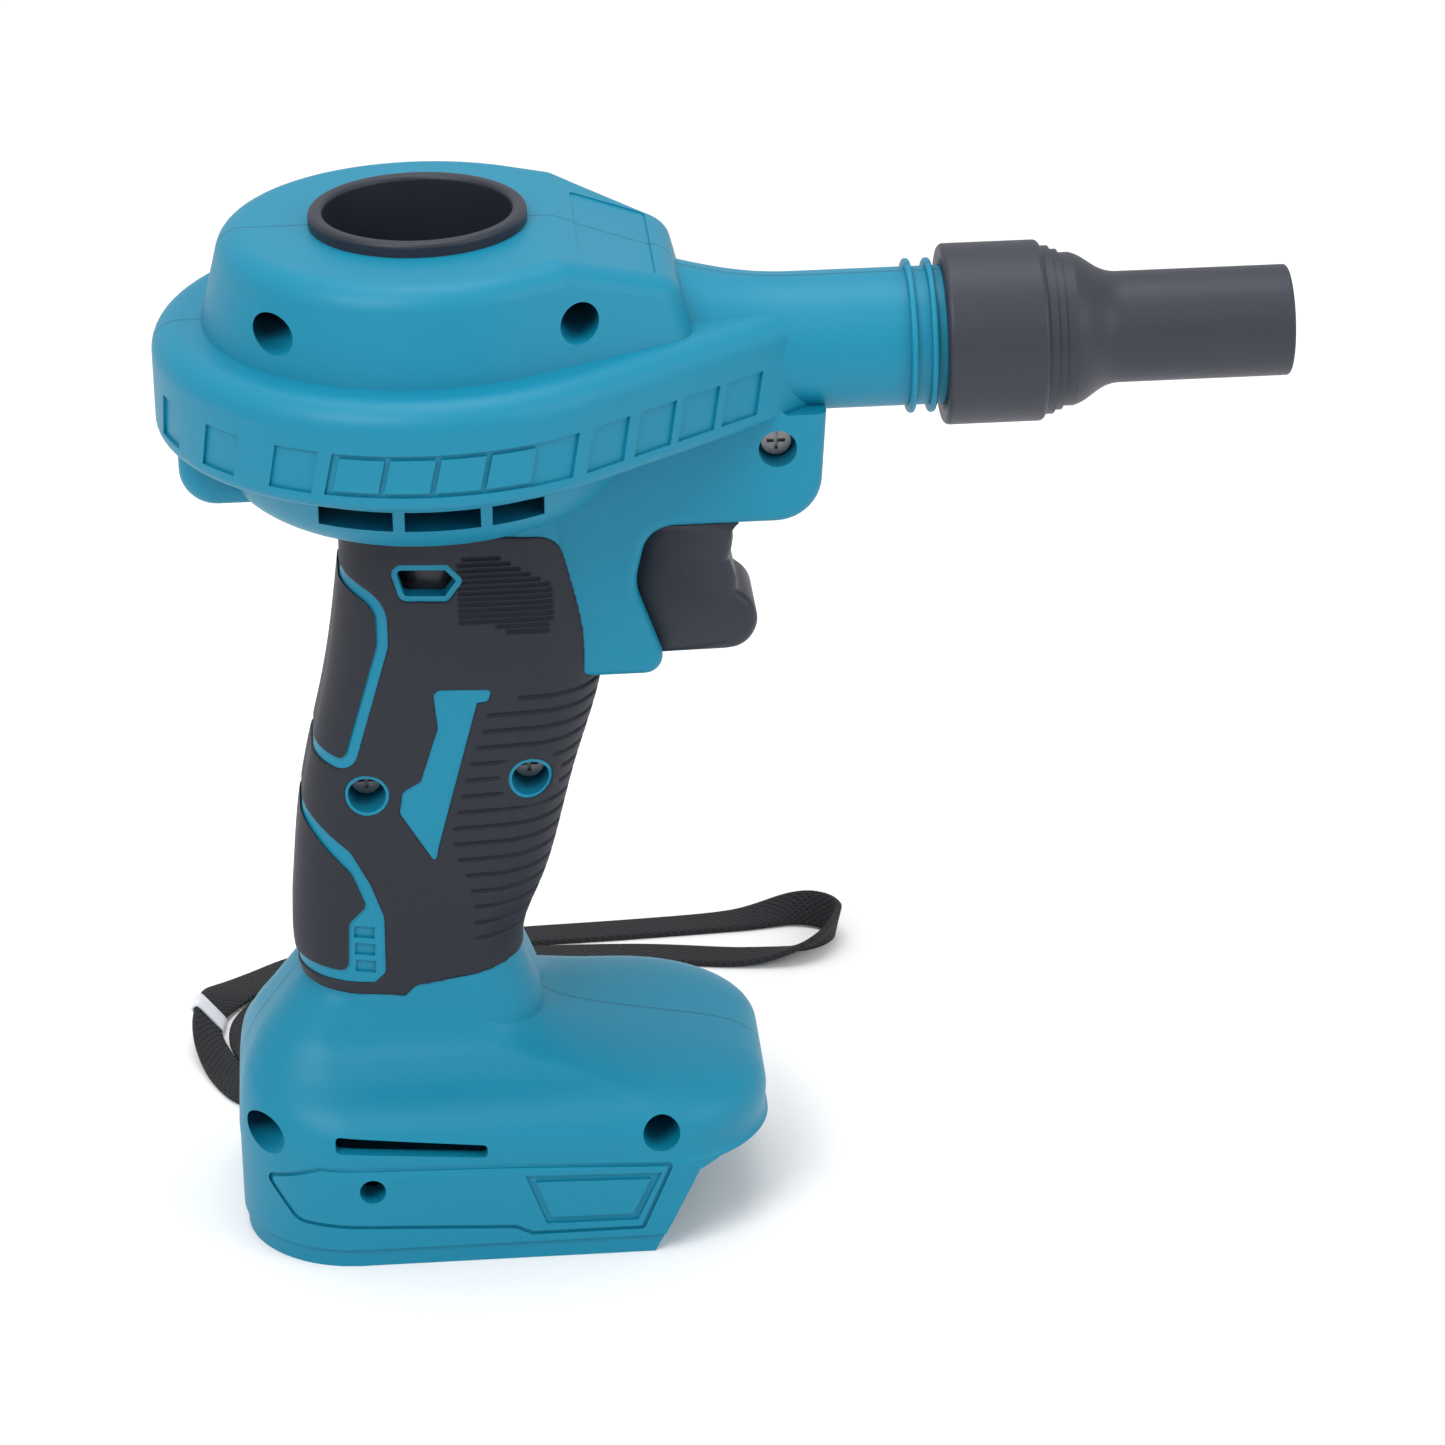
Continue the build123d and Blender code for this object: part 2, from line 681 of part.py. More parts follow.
def impeller():
    """Back plate with a hub and curved blades."""
    body = rod_z(0, 0, impeller_plate_z, impeller_plate_z + impeller_plate, impeller_radius)
    hub = rod_z(0, 0, impeller_plate_z, impeller_top_z - 2, 8)
    body = body + fillet(hub.edges().group_by(Axis.Z)[-1], 2)
    blade_radius = 42.0
    centre = (10.0, -38.0)
    ring = Circle(blade_radius + blade_thickness / 2) - Circle(blade_radius - blade_thickness / 2)
    strip = Pos(*centre) * ring
    ring = Circle(impeller_radius - 0.6) - Circle(11)
    half = Pos(far / 2, 0) * Rectangle(far, far)
    blade = strip & ring & half & (Pos(0, far / 2 - 6) * Rectangle(far, far))
    blade_height = impeller_top_z - impeller_plate_z - impeller_plate
    wall = extrude(Pos(0, 0, impeller_plate_z + impeller_plate - 0.2) * blade, amount=blade_height)
    for step in range(blade_count):
        body = body + Rot(0, 0, 360 * step / blade_count) * wall
    return body - rod_z(0, 0, 150, 220, shaft_radius)


def impeller_nut():
    body = extrude(Pos(0, 0, impeller_top_z - 2) * RegularPolygon(4, 6), amount=3.2)
    return body - rod_z(0, 0, 150, 230, shaft_radius)


def motor_screws():
    group = []
    for sign in (-1, 1):
        head = rod_z(sign * 9.5, 0, chamber_floor_z, chamber_floor_z + 1.2, 2)
        group.append(head + rod_z(sign * 9.5, 0, deck_floor_z, chamber_floor_z, 1.1))
    return group


def terminal_block():
    flange = box_between(-33, -9, -18, 18, channel_floor_top_z, channel_floor_top_z + 2.5)
    body = box_between(-30, -12, -15, 15, 7, channel_floor_top_z)
    return flange + body


def terminal_blades():
    blades = []
    for y in (-9, 0, 9):
        blades.append(box_between(-12, -1, y - 0.4, y + 0.4, 8.5, 15.5))
    return blades


def wire(points, radius, bend):
    path = FilletPolyline(*points, radius=bend)
    start = Plane(origin=points[0], z_dir=path % 0)
    return sweep(start * Circle(radius), path=path)


def battery_wires():
    top = channel_floor_top_z + 2.5
    group = []
    for y in (-5, 5):
        route = [(-20, y, top), (-20, y, 42), (2, y, 100), (6, y, 122), (6, y, bay_floor_z)]
        group.append(wire(route, 1.2, 6))
    return group


def motor_wires():
    group = []
    for y in (-5, 5):
        group.append(wire([(0, y, 141), (-9, y, 141), (-9, y, motor_bottom_z - cap_height)], 0.9, 3))
    return group


def anchor_frame():
    """Plane at the strap pin: its X axis points out of the heel."""
    angle = radians(strap_angle)
    out = (cos(angle), sin(angle), 0)
    ax, ay = strap_anchor
    origin = (ax + strap_pin_reach * out[0], ay + strap_pin_reach * out[1], 0)
    return Plane(origin=origin, x_dir=out, z_dir=(0, 0, 1))


def strap_notch():
    """Recess in the heel of the far half, with the holes of the strap pin."""
    room = Pos(4, 0, 3) * Box(16, 2 * strap_leg_offset + strap_width + 1, 8)
    return anchor_frame() * (room + pin_rod(strap_pin_radius + 0.02))


def pin_rod(radius):
    """Round rod across both legs of the strap, lying on top of them."""
    length = 2 * strap_leg_offset + strap_width + 6
    return Pos(0, 0, strap_thickness + strap_pin_radius) * Rot(90, 0, 0) * Cylinder(radius, length)


def strap_pin():
    return anchor_frame() * pin_rod(strap_pin_radius)


def strap_points():
    frame = anchor_frame()
    start = frame.from_local_coords((-2, -strap_leg_offset, 0))
    start_out = frame.from_local_coords((12, -strap_leg_offset, 0))
    end = frame.from_local_coords((-2, strap_leg_offset, 0))
    end_out = frame.from_local_coords((12, strap_leg_offset, 0))
    return start, start_out, end_out, end


def strap_path():
    """Line of the strap on the floor, from its outer end at the heel round to its inner end."""
    inner, inner_out, outer_out, outer = strap_points()
    ends = [outer, outer_out, inner_out, inner]
    corners = [(p.X, p.Y) for p in ends[:2]] + strap_route + [(p.X, p.Y) for p in ends[2:]]
    return Spline(*[(x, y, 0) for x, y in corners])


def wrist_strap():
    """Webbing loop lying on the floor behind the base; both ends are held under the pin."""
    path = strap_path()
    along = path % 0
    section = Plane(origin=path @ 0, x_dir=(-along.Y, along.X, 0), z_dir=along)
    ribbon = section * (Pos(0, strap_thickness / 2) * Rectangle(strap_width, strap_thickness))
    return sweep(ribbon, path=path)


def strap_clip():
    """White slider that grips the outer leg of the strap."""
    path = strap_path()
    seat = Plane(origin=path @ clip_place, x_dir=path % clip_place, z_dir=(0, 0, 1))
    half = strap_width / 2 + clip_gap + clip_wall
    body = Pos(0, 0, strap_thickness + clip_wall / 2) * Box(clip_length, 2 * half, clip_wall)
    for sign in (-1, 1):
        wall = Box(clip_length, clip_wall, strap_thickness + clip_wall)
        body = body + Pos(0, sign * (half - clip_wall / 2), (strap_thickness + clip_wall) / 2) * wall
    return seat * body


def all_nodes():
    nodes = housing_halves()
    nodes["intake_ring"] = intake_ring()
    nodes["blow_nozzle"] = blow_nozzle()
    nodes["trigger"] = trigger()
    nodes["trigger_plunger"] = trigger_plunger()
    nodes["switch_body"] = switch_body()
    nodes["motor_can"] = motor_can()
    nodes["motor_end_cap"] = motor_end_cap()
    nodes["motor_bearings"] = motor_bearings()
    nodes["motor_magnets"] = motor_magnets()
    nodes["motor_shaft"] = motor_shaft()
    nodes["rotor_core"] = rotor_core()
    nodes["commutator"] = commutator()
    nodes["impeller"] = impeller()
    nodes["impeller_nut"] = impeller_nut()
    nodes["motor_screws"] = motor_screws()
    nodes["terminal_block"] = terminal_block()
    nodes["terminal_blades"] = terminal_blades()
    nodes["battery_wires"] = battery_wires()
    nodes["motor_wires"] = motor_wires()
    nodes["housing_screws"] = housing_screws()
    nodes["strap_pin"] = strap_pin()
    nodes["wrist_strap"] = wrist_strap()
    nodes["strap_clip"] = strap_clip()
    return nodes


os.makedirs("parts", exist_ok=True)
for name, shape in all_nodes().items():
    pieces = shape if isinstance(shape, list) else shape.solids()
    solids = [solid for piece in pieces for solid in (Pos(-x_middle, 0, 0) * piece).solids()]
    export_step(Compound(solids) if len(solids) > 1 else solids[0], "parts/" + name + ".step")
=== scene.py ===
import json
import math

import bmesh
import bpy
import numpy as np
from mathutils import Matrix, Vector


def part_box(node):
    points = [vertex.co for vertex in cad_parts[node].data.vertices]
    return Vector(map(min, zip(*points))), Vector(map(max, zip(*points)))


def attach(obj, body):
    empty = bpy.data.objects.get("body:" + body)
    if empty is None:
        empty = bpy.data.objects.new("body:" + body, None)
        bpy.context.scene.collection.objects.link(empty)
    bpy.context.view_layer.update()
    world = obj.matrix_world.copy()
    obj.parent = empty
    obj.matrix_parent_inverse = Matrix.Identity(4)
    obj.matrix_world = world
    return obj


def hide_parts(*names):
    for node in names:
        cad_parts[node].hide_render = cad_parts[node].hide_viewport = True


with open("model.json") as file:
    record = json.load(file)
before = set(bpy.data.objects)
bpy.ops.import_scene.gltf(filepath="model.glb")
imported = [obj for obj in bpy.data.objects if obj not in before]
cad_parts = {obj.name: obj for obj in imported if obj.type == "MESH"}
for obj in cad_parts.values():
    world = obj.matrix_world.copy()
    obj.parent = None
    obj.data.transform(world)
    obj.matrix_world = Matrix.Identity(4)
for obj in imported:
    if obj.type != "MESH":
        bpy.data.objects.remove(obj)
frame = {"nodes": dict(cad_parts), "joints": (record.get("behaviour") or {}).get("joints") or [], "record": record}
nodes = frame["nodes"]
joints = {joint["name"]: joint for joint in frame["joints"]}
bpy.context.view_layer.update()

# Sizes are in millimetres, and places are from the fan axis and the floor, unless a comment says otherwise
MM = 0.001
FAN_X = joints["fan_spin"]["pos_m"][0] / MM  # the fan axis, measured from the frame's own origin

# Camera, fitted to the photograph, with its angles in degrees
PHOTO_PIXELS = 1445
FOCAL_PIXELS = 5460
SENSOR_WIDTH = 36.0
CAMERA_AZIMUTH = -4
CAMERA_ELEVATION = 25
CAMERA_ROLL = -1
CAMERA_DISTANCE = 1200
CAMERA_TARGET = (62.3, 0, 110.5)

# Studio, in metres and watts
FLOOR_SIZE = 8.0
ROOM_BRIGHTNESS = 0.75
LIGHT_TARGET = (0, 0, 0.12)
LIGHTS = [  # name, place, width and power
    ("key", (-0.7, -0.9, 1.3), 0.9, 14),
    ("fill", (1.1, -0.7, 0.8), 1.0, 6),
    ("top", (0.0, 0.2, 1.5), 1.0, 9),
]

# Relief in the finishes
GRAIN_DEPTH = 0.4
GRAIN_DETAIL = 3.0
SEAM_FLOOR = 0.04  # half the width of the seam at its floor
SEAM_MOUTH = 0.34  # half the width of the seam at the surface
SEAM_DEPTH = 0.5
SEAM_STRENGTH = 0.9
BRAID_SLANT = 52  # degrees
BRAID_SCALE = 2.6
BRAID_UNIT = 10.0  # length of strap that one unit of the pattern covers
BRAID_DEPTH = 0.6
BRAID_STRENGTH = 0.9

# Smooth curves
CURVE_PIECES = 40  # between two given points

# Side pads: their mesh, and what tells their outer face from the rest
PAD_VOXEL = 0.42
PAD_SOFTENING = 0.5
PAD_SOFTENING_ROUNDS = 3
HANDLE_HEIGHTS = [50, 90, 130, 165]
HANDLE_MIDDLES = [-8, -3, 6, 7]  # X of the handle's middle at these heights
HANDLE_FLATNESS = 0.6  # scales the handle's depth, which is more than its width
OUTWARD_LEAST = 0.35  # share of its length by which a normal on the outer face points outward
NO_LENGTH = 1e-9  # keeps a length of zero from being divided by

# Grooves of the side pads
GROOVE_DEPTH = 0.75
REFINE_REACH = 0.9  # faces are split this far beyond a groove
REFINE_LEAST = 0.02  # and where the widened groove is at least this deep, from 0 to 1
SHORT_ROWS = 14
SHORT_TOP = 160.2
SHORT_PITCH = 1.32
SHORT_HALF_WIDTH = 0.42
SHORT_FADE = 0.12
SHORT_START = 5.0
SHORT_LATE_STARTS = {0: 6.0, 12: 12.8, 13: 15.0}  # rows that start further forward
SHORT_FIRST_END = 14.2
SHORT_END_STEP = 2.1
SHORT_END = 25.2
SHORT_LOW_ROW = 12  # this row and those below it end earlier
SHORT_LOW_END = 24.2
LONG_STARTS = [17.2, 10.4, 9.2, 7.8, 6.4, 5.2, 4.2, 3.2, 2.2, 2.2, 3.0, 4.6, 5.6, 6.0, 6.0, 6.2]
LONG_TOP = 127.4
LONG_PITCH = 3.85
LONG_RISE = 0.04  # slope toward the front
LONG_HALF_WIDTH = 0.45
LONG_FADE = 0.15
SCREW_X = 19.2
SCREW_Z = 107.8
SCREW_CLEAR = 7.0  # no groove this close to the screw's middle
SCREW_FADE = 0.2

# Trigger
TRIGGER_FRONT = [
    (65.8, 162.4), (64.9, 161.5), (64.5, 160.4), (64.7, 158.9), (64.4, 156.4), (63.9, 154.4), (63.6, 153.6),
    (64.0, 152.8), (64.7, 151.0), (65.3, 148.9), (65.4, 147.2), (65.5, 146.4), (66.2, 145.6), (67.8, 144.2),
    (69.1, 142.2), (69.7, 139.3), (69.2, 136.8), (67.7, 134.4), (65.4, 132.9), (62.6, 132.4),
]  # X and Z of the two finger scallops and the nose, from the top down
TRIGGER_STEP = 0.3
TRIGGER_ROUND = 2.6
TRIGGER_ROUND_LAYERS = 7
TRIGGER_SQUARE_TOP = 1.5  # the edges stay square this far below the top
TRIGGER_ROUND_FADE = 4.0  # and become round over this height

# Wrist strap and its clip, with their leans in degrees
STRAP_ROUTE = [
    (-35.0, 25.2), (-42.4, 37.1), (-48.5, 43.5), (-54, 56), (-57, 70), (-54.5, 84), (-45, 98), (-28, 109),
    (5, 114.5), (45, 116.5), (72, 118), (88, 118.5), (97, 110), (90, 99.5), (74, 98.5), (45, 103.5),
    (5, 104.8), (-24.5, 100), (-38.5, 90.8), (-45.7, 80.5), (-47.7, 70.5), (-45.4, 59.5), (-40, 49.5),
    (-33.6, 42.6), (-26.2, 30.7),
]  # X and Y round the floor behind the base, from one end at the pin to the other
STRAP_STEP = 0.8
STRAP_WIDTH = 8.8
STRAP_THICK = 1.5
STRAP_EDGE = 0.35  # width of its thinner edges
STRAP_EDGE_SHARE = 0.45  # share of the thickness that is left there
STRAP_TOP_POINTS = 8
BEND_LEAN = 78
BEND_REACH = 17.0
CLIP_LEAN = 50
CLIP_REACH = 15.0
CLIP_LENGTH = 6.0
CLIP_WALL = 0.55
CLIP_GAP = 0.05
CLIP_STEPS = 32
CLIP_WIDE_POWER = 0.28  # below 1, both powers make the band's outline squarer than an ellipse
CLIP_THICK_POWER = 0.45
CLIP_BEVEL = 0.12
CLIP_BEVEL_STEPS = 2


def linear(red, green, blue):
    """Colour of a photograph, 0 to 255, as linear light by the sRGB curve."""
    light = []
    for value in (red, green, blue):
        share = value / 255
        if share <= 0.04045:
            light.append(share / 12.92)
        else:
            light.append(((share + 0.055) / 1.055) ** 2.4)
    return (*light, 1.0)


def press_relief(tree, height, strength, depth):
    """Relief from a height, over any relief that the finish already has."""
    surface = tree.nodes["Principled BSDF"].inputs["Normal"]
    bump = tree.nodes.new("ShaderNodeBump")
    bump.inputs["Strength"].default_value = strength
    bump.inputs["Distance"].default_value = depth * MM
    if surface.is_linked:
        tree.links.new(surface.links[0].from_socket, bump.inputs["Normal"])
    tree.links.new(height, bump.inputs["Height"])
    tree.links.new(bump.outputs["Normal"], surface)


def add_grain(tree, strength, scale):
    """Fine grain of a moulded surface."""
    place = tree.nodes.new("ShaderNodeTexCoord")
    noise = tree.nodes.new("ShaderNodeTexNoise")
    noise.inputs["Scale"].default_value = scale
    noise.inputs["Detail"].default_value = GRAIN_DETAIL
    tree.links.new(place.outputs["Object"], noise.inputs["Vector"])
    press_relief(tree, noise.outputs["Fac"], strength, GRAIN_DEPTH)


def add_seam(tree):
    """Fine line where the two halves of the housing meet, at Y = 0."""
    place = tree.nodes.new("ShaderNodeTexCoord")
    split = tree.nodes.new("ShaderNodeSeparateXYZ")
    away = tree.nodes.new("ShaderNodeMath")
    away.operation = "ABSOLUTE"
    groove = tree.nodes.new("ShaderNodeMapRange")
    groove.inputs["From Min"].default_value = SEAM_FLOOR * MM
    groove.inputs["From Max"].default_value = SEAM_MOUTH * MM
    tree.links.new(place.outputs["Object"], split.inputs["Vector"])
    tree.links.new(split.outputs["Y"], away.inputs[0])
    tree.links.new(away.outputs[0], groove.inputs["Value"])
    press_relief(tree, groove.outputs["Result"], SEAM_STRENGTH, SEAM_DEPTH)


def add_braid(tree):
    """Two crossing sets of slanted cords along a strip."""
    place = tree.nodes.new("ShaderNodeUVMap")
    place.uv_map = "braid"
    both = tree.nodes.new("ShaderNodeMath")
    both.operation = "MAXIMUM"
    for cords, tilt in enumerate((-1, 1)):
        mapping = tree.nodes.new("ShaderNodeMapping")
        mapping.inputs["Rotation"].default_value = (0, 0, tilt * math.radians(BRAID_SLANT))
        wave = tree.nodes.new("ShaderNodeTexWave")
        wave.inputs["Scale"].default_value = BRAID_SCALE
        tree.links.new(place.outputs["UV"], mapping.inputs["Vector"])
        tree.links.new(mapping.outputs["Vector"], wave.inputs["Vector"])
        tree.links.new(wave.outputs["Fac"], both.inputs[cords])
    press_relief(tree, both.outputs[0], BRAID_STRENGTH, BRAID_DEPTH)


def material(name, colour, roughness, metallic=0.0, sheen=0.5, grain=None):
    """Plain finish, with the strength and the scale of its grain where it has one."""
    mat = bpy.data.materials.new(name)
    mat.use_nodes = True
    shader = mat.node_tree.nodes["Principled BSDF"]
    shader.inputs["Base Color"].default_value = colour
    shader.inputs["Roughness"].default_value = roughness
    shader.inputs["Metallic"].default_value = metallic
    shader.inputs["Specular IOR Level"].default_value = sheen
    if grain:
        add_grain(mat.node_tree, *grain)
    return mat


TEAL = material("teal moulded plastic", linear(8, 120, 149), 0.46, sheen=0.28, grain=(0.10, 1500))
add_seam(TEAL.node_tree)
GRIP = material("soft grip rubber", linear(29, 32, 42), 0.60, sheen=0.32, grain=(0.25, 2200))
NOZZLE = material("nozzle rubber", linear(41, 44, 55), 0.48, sheen=0.38, grain=(0.15, 1800))
BLACK = material("dark plastic", linear(33, 38, 49), 0.45, sheen=0.35, grain=(0.12, 1500))
FAN = material("fan plastic", linear(34, 35, 38), 0.5)
STEEL = material("bright steel", (0.62, 0.63, 0.65, 1), 0.28, metallic=1.0)
SCREW = material("screw steel", (0.20, 0.20, 0.21, 1), 0.34, metallic=1.0)
CAN = material("dark motor steel", (0.035, 0.035, 0.04, 1), 0.30, metallic=0.8)
BRONZE = material("bronze", (0.55, 0.33, 0.13, 1), 0.35, metallic=1.0)
IRON = material("dark iron", (0.06, 0.06, 0.065, 1), 0.5, metallic=0.6)
WIRE = material("wire skin", linear(26, 26, 28), 0.45)
WEBBING = material("strap webbing", linear(27, 28, 32), 0.85)
add_braid(WEBBING.node_tree)
CLIP = material("white clip", linear(214, 214, 220), 0.35)
FLOOR = material("pale floor", (0.88, 0.88, 0.88, 1), 0.9)

SLOT_FINISH = {
    "teal_plastic": TEAL,
    "grip_rubber": GRIP,
    "nozzle_rubber": NOZZLE,
    "black_plastic": BLACK,
    "fan_plastic": FAN,
    "steel": STEEL,
    "bronze": BRONZE,
    "magnet": IRON,
    "wire_skin": WIRE,
    "webbing": WEBBING,
    "clip_plastic": CLIP,
}
OWN_FINISH = {"housing_screws": SCREW, "motor_can": CAN, "motor_screws": SCREW}


def finish_nodes():
    """Gives every CAD node its own finish, or else that of its slot."""
    for part in frame["record"]["subparts"]:
        finish = OWN_FINISH.get(part["node"], SLOT_FINISH[part["material_slot"]])
        mesh = nodes[part["node"]].data
        mesh.materials.clear()
        mesh.materials.append(finish)


def curve_point(before, start, end, after, share):
    """Point at a share of the way from start to end, on a smooth curve through four points."""
    slope = end - before
    bend = 2 * before - 5 * start + 4 * end - after
    twist = 3 * start - before - 3 * end + after
    return 0.5 * (2 * start + slope * share + bend * share**2 + twist * share**3)


def smooth_line(points, step):
    """Points about a step apart on a smooth line through the given ones, and how far along it each lies."""
    given = np.array(points, float)
    given = np.vstack([2 * given[0] - given[1], given, 2 * given[-1] - given[-2]])
    fine = []
    for before, start, end, after in zip(given[:-3], given[1:-2], given[2:-1], given[3:]):
        for share in np.linspace(0, 1, CURVE_PIECES, endpoint=False):
            fine.append(curve_point(before, start, end, after, share))
    fine.append(given[-2])
    fine = np.array(fine)
    lengths = np.linalg.norm(np.diff(fine, axis=0), axis=1)
    reached = np.concatenate([[0], np.cumsum(lengths)])
    far = np.linspace(0, reached[-1], int(reached[-1] / step) + 1)
    line = np.column_stack([np.interp(far, reached, column) for column in fine.T])
    return line, far


def corners_of(node):
    """Lowest and highest corner of a CAD node."""
    return np.array(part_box(node)) / MM - (FAN_X, 0, 0)


def tube_faces(rings, count, closed=False):
    """Faces between rings with as many points each, and from the last to the first if the tube is closed."""
    faces = []
    for ring in range(rings if closed else rings - 1):
        here = ring * count
        there = (ring + 1) % rings * count
        for point in range(count):
            following = (point + 1) % count
            faces.append((here + point, here + following, there + following, there + point))
    return faces


def capped_tube_faces(rings, count):
    """Faces of a tube with both ends closed."""
    first_cap = tuple(reversed(range(count)))
    last_cap = tuple(range((rings - 1) * count, rings * count))
    return tube_faces(rings, count) + [first_cap, last_cap]


def add_mesh(name, points, faces):
    """New object with its faces turned outward."""
    mesh = bpy.data.meshes.new(name)
    mesh.from_pydata([tuple(point) for point in points], [], faces)
    work = bmesh.new()
    work.from_mesh(mesh)
    bmesh.ops.recalc_face_normals(work, faces=work.faces)
    work.to_mesh(mesh)
    work.free()
    obj = bpy.data.objects.new(name, mesh)
    bpy.context.scene.collection.objects.link(obj)
    return obj


def show(obj, paint, node, body):
    """Smooth shading, finish and place of a piece that stands for a CAD node."""
    obj.data.polygons.foreach_set("use_smooth", [True] * len(obj.data.polygons))
    obj.data.update()
    obj.data.materials.clear()
    obj.data.materials.append(paint)
    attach(obj, body)
    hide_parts(node)


def short_grooves():
    """Height, start and end of the short grooves at the top of a side pad."""
    rows = []
    for row in range(SHORT_ROWS):
        start = SHORT_LATE_STARTS.get(row, SHORT_START)
        end = min(SHORT_END, SHORT_FIRST_END + SHORT_END_STEP * row)
        if row >= SHORT_LOW_ROW:
            end = SHORT_LOW_END
        rows.append((SHORT_TOP - SHORT_PITCH * row, start, end))
    return rows


def long_grooves():
    """Height and start of the long grooves that run round the front of the grip."""
    return [(LONG_TOP - LONG_PITCH * row, start) for row, start in enumerate(LONG_STARTS)]


def across(value, middle, half_width):
    """1 in the middle of a groove and 0 beside it, with soft edges."""
    return np.exp(-(((value - middle) / half_width) ** 4))


def past(value, limit, fade):
    """0 before a limit and 1 past it, with a soft step."""
    return 1 / (1 + np.exp(-(value - limit) / fade))


def groove_depth(x, z, spread=0.0):
    """Depth, from 0 to 1, of the grooves at points of a side pad, with each groove widened by the spread."""
    depth = np.zeros(len(x))
    for height, start, end in short_grooves():
        inside = past(x, start - spread, SHORT_FADE) * past(-x, -end - spread, SHORT_FADE)
        depth = np.maximum(depth, across(z, height, SHORT_HALF_WIDTH + spread) * inside)
    for height, start in long_grooves():
        middle = height + LONG_RISE * (x - start)
        inside = past(x, start - spread, LONG_FADE)
        depth = np.maximum(depth, across(z, middle, LONG_HALF_WIDTH + spread) * inside)
    from_screw = np.hypot(x - SCREW_X, z - SCREW_Z)
    return depth * past(from_screw, SCREW_CLEAR, SCREW_FADE)


def even_copy(node, name):
    """Copy of a side pad in small even faces, with its edges softened."""
    obj = bpy.data.objects.new(name, nodes[node].data.copy())
    bpy.context.scene.collection.objects.link(obj)
    remesh = obj.modifiers.new("even", "REMESH")
    remesh.mode = "VOXEL"
    remesh.voxel_size = PAD_VOXEL * MM
    smooth = obj.modifiers.new("soft", "SMOOTH")
    smooth.factor = PAD_SOFTENING
    smooth.iterations = PAD_SOFTENING_ROUNDS
    graph = bpy.context.evaluated_depsgraph_get()
    fine = bpy.data.meshes.new_from_object(obj.evaluated_get(graph))
    obj.modifiers.clear()
    obj.data = fine
    return obj


def points_of(mesh):
    """Places, in metres in the frame, and normals of a mesh as two arrays."""
    place = np.zeros(len(mesh.vertices) * 3)
    normal = np.zeros(len(mesh.vertices) * 3)
    mesh.vertices.foreach_get("co", place)
    mesh.vertices.foreach_get("normal", normal)
    return place.reshape(-1, 3), normal.reshape(-1, 3)


def side_view(place):
    """X and Z of points that are given in metres in the frame."""
    return place[:, 0] / MM - FAN_X, place[:, 2] / MM


def outer_side(place, normal):
    """Which points of a side pad are on its outer face."""
    x, z = side_view(place)
    forward = x - np.interp(z, HANDLE_HEIGHTS, HANDLE_MIDDLES)
    out = np.column_stack([forward * HANDLE_FLATNESS, place[:, 1] / MM, np.zeros(len(x))])
    out /= np.linalg.norm(out, axis=1)[:, None] + NO_LENGTH
    return (normal * out).sum(axis=1) > OUTWARD_LEAST


def refine(mesh, chosen):
    """Splits the edges between chosen points."""
    work = bmesh.new()
    work.from_mesh(mesh)
    edges = [edge for edge in work.edges if all(chosen[vert.index] for vert in edge.verts)]
    bmesh.ops.subdivide_edges(work, edges=edges, cuts=1, use_grid_fill=True)
    work.to_mesh(mesh)
    work.free()
    mesh.update()


def grooved_grip(node):
    """Finer copy of a side pad, with its edges softened and its grooves pressed in."""
    obj = even_copy(node, node + "_grooved")
    mesh = obj.data
    place, normal = points_of(mesh)
    near = groove_depth(*side_view(place), REFINE_REACH) > REFINE_LEAST
    refine(mesh, near & outer_side(place, normal))
    place, normal = points_of(mesh)
    depth = groove_depth(*side_view(place)) * outer_side(place, normal)
    place -= normal * (depth * GROOVE_DEPTH * MM)[:, None]
    mesh.vertices.foreach_set("co", place.ravel())
    show(obj, GRIP, node, "housing")


def trigger_outline(low, high):
    """Side view of the trigger as points, and the way in which each moves where the edges round over."""
    front, _ = smooth_line(TRIGGER_FRONT, TRIGGER_STEP)
    back = [(low[0], low[2]), (low[0], high[2])]
    outline = np.vstack([front, back])
    along = np.roll(outline, -1, axis=0) - np.roll(outline, 1, axis=0)
    along /= np.linalg.norm(along, axis=1)[:, None]
    inward = np.column_stack([along[:, 1], -along[:, 0]])
    below = high[2] - TRIGGER_SQUARE_TOP - outline[:, 1]
    inward *= np.clip(below / TRIGGER_ROUND_FADE, 0, 1)[:, None]
    inward[-len(back):] = 0
    return outline, inward


def rounded_layers(half_width):
    """Y of each layer across the trigger, and how far its outline is drawn in there."""
    layers = []
    for turn in np.radians(np.linspace(90, 0, TRIGGER_ROUND_LAYERS)):
        y = TRIGGER_ROUND * (1 - math.sin(turn)) - half_width
        layers.append((y, TRIGGER_ROUND * (1 - math.cos(turn))))
    return layers + [(-y, inset) for y, inset in reversed(layers)]


def scalloped_trigger():
    """Trigger with two finger scallops and a round nose, its edges rounded over to both sides."""
    low, high = corners_of("trigger")
    outline, inward = trigger_outline(low, high)
    layers = rounded_layers((high[1] - low[1]) / 2)
    points = []
    for y, inset in layers:
        for x, z in outline + inset * inward:
            points.append(((x + FAN_X) * MM, y * MM, z * MM))
    faces = capped_tube_faces(len(layers), len(outline))
    obj = add_mesh("scalloped_trigger", points, faces)
    show(obj, BLACK, "trigger", "trigger")


